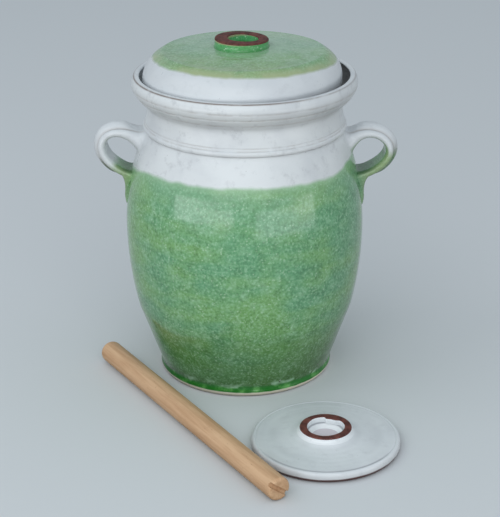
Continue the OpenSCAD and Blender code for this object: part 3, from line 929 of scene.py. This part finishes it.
def make_handle(side, name, node, upper_sizes, lower_sizes, material):
    upper_z, upper_pull, upper_rise = upper_sizes
    lower_z, lower_pull, lower_rise = lower_sizes
    upper_root = np.array([float(body_out(upper_z)), upper_z])
    lower_root = np.array([float(body_out(lower_z)), lower_z])
    curve = [
        upper_root,
        upper_root + upper_pull * heading_of(upper_rise),
        lower_root + lower_pull * heading_of(lower_rise),
        lower_root,
    ]

    def thick_at(t):
        return STRAP_T + ROOT_SWELL * max(0, 1 - t / ROOT_SHARE) ** 2

    def section_at(t):
        heading = along_curve(curve, t)
        middle = on_curve(curve, t)
        ribs = float(smooth(t, 0.04, 0.2) * smooth(-t, -1.0, -0.85))
        outline = strap_section(thick_at(t), ribs)
        x = middle[0] - heading[1] * outline[:, 1]
        z = middle[1] + heading[0] * outline[:, 1]
        return np.column_stack([side * x + lean_at(z), outline[:, 0], z])

    def on_wall(z0, sideways, upward, lift):
        """A ring laid on the wall around height z0."""
        z = z0 + upward
        turn = sideways / float(body_out(z0))
        return np.column_stack(thrown(body_out(z) + lift, z, turn if side > 0 else math.pi - turn))

    first = strap_section(thick_at(0), 0.0)
    normals = outline_normals(first)
    flare = np.where(normals[:, 1] > 0, ROOT_FLARE, ROOT_FLARE_INSIDE)
    wide = first[:, 0] + ROOT_FLARE * normals[:, 0]
    upper_wall = on_wall(upper_z, wide, first[:, 1] + flare * normals[:, 1], -ROOT_SINK)
    upper_bend = on_wall(upper_z, first[:, 0], first[:, 1], ROOT_LIFT)

    last = strap_section(STRAP_T, 0.0)
    normals = outline_normals(last)
    below = smooth(normals[:, 1], -0.1, 0.75)
    above = 1 - below
    narrow = last[:, 0] * (1 - TAIL_NARROW * below)
    flared = narrow + LOWER_FLARE * above * normals[:, 0]
    rise = LOWER_FLARE * above * np.abs(normals[:, 1])
    high = rise - last[:, 1]
    tail_high = high - TAIL_LEN * below
    slim = last[:, 0] * (1 - BEND_NARROW * below)
    bend_high = -last[:, 1] - BEND_DROP * below
    lower_bend = on_wall(lower_z, slim, bend_high, (TAIL_T + BEND_LIFT) * below)
    tab = on_wall(lower_z, flared, high - TAIL_TAB * below, TAIL_T * below - ROOT_SINK * above)
    tab_end = on_wall(lower_z, narrow * 0.95, tail_high, 0.4 * TAIL_T * below - TAIL_SINK * above)
    wall = on_wall(lower_z, flared + 0.8 * above * normals[:, 0], tail_high + 0.3 * rise, -TAIL_SINK)

    shares = np.array(levels(STRAP_FROM, STRAP_TO, STRAP_RINGS))
    strap = [section_at(t) for t in shares]
    upper = bend(upper_wall, upper_bend, strap[0], UPPER_RINGS)
    lower = bend(strap[-1], lower_bend, tab, LOWER_RINGS)
    tail = bend(tab, tab_end, wall, TAIL_RINGS)
    rings = [*upper[:-1], *strap, *lower[1:], *tail[1:]]
    count = len(first)
    inward = np.array([side * CAP_DEPTH, 0, 0])
    points = np.vstack([*rings, rings[0].mean(axis=0) - inward, rings[-1].mean(axis=0) - inward])
    faces = []
    for k in range(len(rings) - 1):
        for i in range(count):
            j = (i + 1) % count
            faces.append((k * count + i, k * count + j, (k + 1) * count + j, (k + 1) * count + i))
    top, bottom = len(points) - 2, len(points) - 1
    final = (len(rings) - 1) * count
    for i in range(count):
        j = (i + 1) % count
        faces.append((top, j, i))
        faces.append((bottom, final + i, final + j))
    mesh = mesh_of(name, points, faces)
    tidy = bmesh.new()
    tidy.from_mesh(mesh)
    bmesh.ops.recalc_face_normals(tidy, faces=tidy.faces)
    tidy.to_mesh(mesh)
    tidy.free()

    # Marks for the paint: shares round the section times shares along the strap
    outline = strap_section(STRAP_T, 1.0)
    at_edge = smooth(np.abs(outline[:, 0]), STRAP_FLAT + 0.5, STRAP_W / 2 - 1.0)
    in_groove = hump(np.abs(outline[:, 0]), STRAP_FLAT + 0.2, 1.0) * (outline[:, 1] > 0)
    outside = smooth(outline[:, 1], 0.2, 2.0)
    inside = smooth(-outline[:, 1], 0.5, 2.5)
    on_strap = [*levels(0.0, 1.0, UPPER_RINGS - 1), *np.ones(STRAP_RINGS)]
    on_strap += [*levels(1.0, 0.0, LOWER_RINGS), *np.zeros(TAIL_RINGS)]
    on_tail = [*np.zeros(UPPER_RINGS + len(strap)), *levels(0.0, 1.0, LOWER_RINGS - 1)]
    on_tail += [*np.ones(TAIL_RINGS)]
    near_wall = [*np.zeros(UPPER_RINGS), *smooth(shares, 0.8, 0.97), *np.ones(LOWER_RINGS + TAIL_RINGS)]
    for mark, around, along in (
        ("edge", at_edge, on_strap),
        ("groove", in_groove, on_strap),
        # under: where the strap turns under, for its painted shade
        ("under", outside * (1 - at_edge), on_strap),
        ("inner", inside, on_strap),
        ("tail", outside, on_tail),
        # corner: the loop's inside by the lower wall, for pooled glaze and painted shade
        ("corner", inside, near_wall),
    ):
        set_mark(mesh, mark, [*np.outer(along, around).ravel(), 0.0, 0.0])
    new_piece(mesh, "crock", node, [material])


# The lid and its knob
def make_lid(white):
    def half_section(r, top):
        return bend((r, top - LID_ROUND_H), (r, top - LID_CORNER), (r - LID_EDGE, top), 40)

    skirt_r = LID_R - LID_WALL
    middle_r = skirt_r + LID_WALL / 2
    hole_r = KNOB_R - KNOB_WALL
    inside_top = LID_Z - LID_TOP_T
    outside = [(middle_r, SKIRT_Z), (LID_R, SKIRT_Z), *half_section(LID_R, LID_Z)]
    outside = softened([*outside, (KNOB_SEAT_R, LID_TOP), (hole_r, LID_TOP)], gap=0.7, blur=0.9)
    ridge = LID_RIDGE * hump(outside[:, 0], LID_R - LID_EDGE - 0.5, 1.6) * (outside[:, 1] > LID_Z - 2)
    outside[:, 1] += ridge
    middle = even([(hole_r, LID_TOP), (0, LID_TOP)], gap=1.5)
    inside = [(0, inside_top), *reversed(half_section(skirt_r, inside_top))]
    inside = softened([*inside, (skirt_r, SKIRT_Z), (middle_r, SKIRT_Z)], gap=2.0, blur=0.8)
    mesh = lathe("glazed_lid", [inside, [*outside, *middle]], turned_lid)
    new_piece(mesh, "lid", "lid_shell", [white, lid_glaze()])


def knob_runs(r, wall, height, flare, bevel, z, sink):
    """Runs of a hollow knob: its outside, its flat top and its hole."""
    hole = r - wall
    outside = [(hole, z - sink), (r + flare, z - sink)]
    outside += bend((r + flare, z), (r, z + flare / 2), (r, z + height - 1.6 * bevel))
    outside = softened(outside, gap=0.35, blur=0.3)
    top = [outside[-1], (r, z + height - bevel), (r - bevel, z + height), (hole + bevel, z + height)]
    top = softened([*top, (hole, z + height - bevel)], gap=0.35, blur=0.35)
    inner = even([top[-1], (hole, z - sink)], gap=0.8)
    return [outside, top, inner]


def make_knob(clay):
    runs = knob_runs(KNOB_R, KNOB_WALL, KNOB_H, KNOB_FLARE, KNOB_BEVEL, LID_TOP, KNOB_SINK)
    mesh = lathe("glazed_knob", runs, turned_knob, closed=True, around=KNOB_SEGMENTS)
    green = knob_glaze()
    new_piece(mesh, "lid", "lid_knob_ring", [green, clay, green])


# The weight and its knob ring
def make_weight(clay):
    bead_in = WEIGHT_R - WEIGHT_BEAD
    half = WEIGHT_RIM_H / 2
    foot_r = WEIGHT_KNOB_R + WEIGHT_KNOB_FLARE
    rise = WEIGHT_SEAT - WEIGHT_RIM_H
    socket_r = WEIGHT_KNOB_R - WEIGHT_KNOB_WALL
    upper = bend((WEIGHT_R - half, 0), (WEIGHT_R, 0), (WEIGHT_R, half))
    upper += bend((WEIGHT_R, half), (WEIGHT_R, WEIGHT_RIM_H), (bead_in, WEIGHT_RIM_H))
    upper += [(bead_in - WEIGHT_GROOVE, WEIGHT_RIM_H - WEIGHT_GROOVE)]
    upper += bend(
        (bead_in - 2 * WEIGHT_GROOVE, WEIGHT_RIM_H),
        (foot_r + rise, WEIGHT_RIM_H + WEIGHT_SLOPE),
        (foot_r, WEIGHT_SEAT),
    )
    upper = softened([*upper, (socket_r + 1, WEIGHT_SEAT)], gap=0.5, blur=0.4)
    socket_in = socket_r - WEIGHT_SOCKET_TAPER
    socket = [upper[-1], (socket_r - 0.8, WEIGHT_SEAT - 0.5), (socket_in, WEIGHT_SOCKET_Z)]
    socket = softened([*socket, (0, WEIGHT_SOCKET_Z)], gap=0.4, blur=0.5)
    under = even([(0, 0), (WEIGHT_R - half, 0)], gap=3.0)

    def line(r, z):
        return float(hump(r, bead_in - WEIGHT_GROOVE, 0.9)) if z > half else 0.0

    def band(r, z):
        return (0.5 + 0.5 * math.sin(TURN * r / 15 + 0.8 * math.sin(r / 4) + 2.6)) * (z > half)

    def well(r, z):
        return float(r < socket_r - 0.9 and z > 0)

    def floor(r, z):
        return float(r < socket_in - 0.3 and z > 0)

    def crease(r, z):
        return float(hump(math.dist((r, z), (socket_r - 0.6, WEIGHT_SEAT - 0.4)), 0, 0.9))

    marks = {"line": line, "band": band, "well": well, "floor": floor, "crease": crease}
    mesh = lathe("glazed_weight", [under, upper, socket], turned_weight, marks=marks)
    glaze = weight_glaze()
    new_piece(mesh, "weight", "weight_plate", [clay, glaze, glaze])


def make_weight_ring(clay, white):
    sizes = (WEIGHT_KNOB_R, WEIGHT_KNOB_WALL, WEIGHT_RING_H, WEIGHT_KNOB_FLARE, WEIGHT_KNOB_BEVEL)
    runs = knob_runs(*sizes, WEIGHT_SEAT, WEIGHT_KNOB_SINK)
    mesh = lathe("bare_ring", runs, turned_weight_ring, closed=True, around=KNOB_SEGMENTS)
    new_piece(mesh, "weight", "weight_knob_ring", [white, clay, white])


# The stick, along its own X axis from the plain end to the slotted end
def slot_cutter():
    """A block with a round inner end, as a closed mesh whose faces take the second material."""
    inner = STICK_LEN - SLOT_DEPTH + SLOT_W / 2
    half = SLOT_W / 2
    reach = 2 * STICK_R
    outline = [(STICK_LEN + reach, half)]
    turns = levels(math.pi / 2, -math.pi / 2, 16)
    outline += [(inner - half * math.cos(a), half * math.sin(a)) for a in turns]
    outline += [(STICK_LEN + reach, -half)]
    count = len(outline)
    across, along = math.cos(SLOT_ANGLE), math.sin(SLOT_ANGLE)
    sides = [(x, y, z) for z in (-reach, reach) for x, y in outline]
    points = [(x, y * across - z * along, y * along + z * across) for x, y, z in sides]
    walls = [(i, (i + 1) % count, count + (i + 1) % count, count + i) for i in range(count)]
    faces = [tuple(reversed(range(count))), tuple(range(count, 2 * count)), *walls]
    mesh = mesh_of("slot_cutter", points, faces, [1] * len(faces))
    return bpy.data.objects.new("slot_cutter", mesh)


def make_stick():
    profile = [
        (0, 0),
        *bend((STICK_R - STICK_ROUND, 0), (STICK_R, 0), (STICK_R, STICK_ROUND)),
        *bend((STICK_R, STICK_LEN - SLOT_ROUND), (STICK_R, STICK_LEN), (STICK_R - SLOT_ROUND, STICK_LEN)),
        (0, STICK_LEN),
    ]

    def along_x(r, z, a):
        return z, r * np.cos(a), r * np.sin(a)

    woods = [beech("beech"), beech("beech_slot", slot=True)]
    outline = softened(profile, gap=0.8, blur=0.35)
    blank = bpy.data.objects.new("blank", lathe("blank", [outline], along_x, around=STICK_SEGMENTS))
    cutter = slot_cutter()
    for piece in (blank, cutter):
        bpy.context.scene.collection.objects.link(piece)
        for wood in woods:
            piece.data.materials.append(wood)
    cut = blank.modifiers.new("slot", "BOOLEAN")
    cut.operation = "DIFFERENCE"
    cut.solver = "EXACT"
    cut.object = cutter
    shown = blank.evaluated_get(bpy.context.evaluated_depsgraph_get())
    mesh = bpy.data.meshes.new_from_object(shown)
    mesh.name = "wooden_stick"
    mesh.set_sharp_from_angle(angle=SLOT_CREASE)
    for piece in (blank, cutter):
        bpy.data.objects.remove(piece)
    mesh.materials.clear()
    heading = Vector((math.cos(STICK_ANGLE), math.sin(STICK_ANGLE), 0))
    inward = Vector((-heading.y, heading.x, 0))
    plain_end = -STICK_OFF * inward - STICK_BACK * heading + Vector((0, 0, STICK_R))
    matrix = Matrix.Translation(plain_end * MM) @ Matrix.Rotation(STICK_ANGLE, 4, "Z")
    new_piece(mesh, "stick", "stick", woods, matrix)


# Floor, light and camera, in metres
FLOOR_RADIUS = 14.0
LIGHT_AIM = Vector((0, 0, 0.17))
DAYLIGHT = (0.96, 0.98, 1.0)
ROOM_STRENGTH = 1.1
CAMERA_AT = (0.00466, -1.24266, 0.62652)
CAMERA_RIGHT = Vector((0.99998, -0.00272, -0.00643))
CAMERA_UP = Vector((0.00698, 0.38924, 0.92111))
LENS_MM = 102.53
SENSOR_MM = 36.0
FAR_END = 100.0


def make_floor():
    mesh = bpy.data.meshes.new("floor")
    made = bmesh.new()
    bmesh.ops.create_circle(made, cap_ends=True, radius=FLOOR_RADIUS, segments=96)
    made.to_mesh(mesh)
    made.free()
    floor = bpy.data.objects.new("floor", mesh)
    bpy.context.scene.collection.objects.link(floor)
    p = Paint("floor_paint")
    # Pale where it is seen, itself or in a reflection, and dim in the light that it sends up
    path = p.node("ShaderNodeLightPath")
    seen = p.maths("MAXIMUM", path.outputs["Is Camera Ray"], path.outputs["Is Glossy Ray"])
    seen = p.maths("MAXIMUM", seen, path.outputs["Is Transmission Ray"])
    p.feed(p.shader.inputs["Base Color"], p.mix(seen, FLOOR_DIM, FLOOR_PALE))
    p.shader.inputs["Roughness"].default_value = 0.9
    p.shader.inputs["Specular IOR Level"].default_value = 0.0
    mesh.materials.append(p.material)


def window(name, azimuth, elevation, width, height, distance, radiance):
    """A flat soft light that faces the crock. Azimuth 0 is in front, and plus is to the right."""
    lamp = bpy.data.lights.new(name, "AREA")
    lamp.shape = "RECTANGLE"
    lamp.size = width
    lamp.size_y = height
    lamp.energy = radiance * math.pi * width * height
    lamp.color = DAYLIGHT
    holder = bpy.data.objects.new(name, lamp)
    bpy.context.scene.collection.objects.link(holder)
    turn = math.radians(azimuth)
    rise = math.radians(elevation)
    away = Vector((math.sin(turn) * math.cos(rise), -math.cos(turn) * math.cos(rise), math.sin(rise)))
    holder.location = LIGHT_AIM + away * distance
    holder.rotation_euler = (-away).to_track_quat("-Z", "Y").to_euler()
    holder.visible_camera = False
    return holder


def make_light():
    left = window("left_window", -39.5, 0.6, width=1.12, height=0.2, distance=1.0, radiance=3.3)
    right = window("right_window", 38.5, -3.0, width=1.12, height=0.225, distance=1.0, radiance=2.3)
    for low_window in (left, right):
        low_window.light_linking.receiver_collection = lit
    window("front_fill", -4, 30, width=2.4, height=1.6, distance=2.2, radiance=1.3)
    window("left_fill", -72, 42, width=1.6, height=1.2, distance=2.2, radiance=0.9)
    world = bpy.data.worlds.new("room")
    world.use_nodes = True
    world.node_tree.nodes["Background"].inputs["Color"].default_value = ROOM
    world.node_tree.nodes["Background"].inputs["Strength"].default_value = ROOM_STRENGTH
    bpy.context.scene.world = world


def make_camera():
    data = bpy.data.cameras.new("camera")
    data.sensor_width = SENSOR_MM
    data.lens = LENS_MM
    data.clip_end = FAR_END
    camera = bpy.data.objects.new("camera", data)
    bpy.context.scene.collection.objects.link(camera)
    back = CAMERA_RIGHT.cross(CAMERA_UP).normalized()
    up = back.cross(CAMERA_RIGHT).normalized()
    turn = Matrix((CAMERA_RIGHT.normalized(), up, back)).transposed().to_4x4()
    camera.matrix_world = Matrix.Translation(CAMERA_AT) @ turn
    bpy.context.scene.camera = camera


make_camera()
make_floor()
make_light()
clay = bare_clay("bare_clay", CLAY_DARK, CLAY)
white = inner_glaze()
make_body(clay, white)
make_collar(channel_shaded_glaze())
left_glaze = handle_glaze("left_handle_glaze", LEFT_LINE, inner=2.0, under=0.75)
right_glaze = handle_glaze("right_handle_glaze", RIGHT_LINE, inner=9.0, under=0.4)
make_handle(-1, "left_strap", "left_handle", LEFT_UPPER, LEFT_LOWER, left_glaze)
make_handle(1, "right_strap", "right_handle", RIGHT_UPPER, RIGHT_LOWER, right_glaze)
make_lid(white)
make_knob(clay)
make_weight(clay)
make_weight_ring(clay, white)
make_stick()

bpy.context.scene.view_settings.view_transform = "Standard"
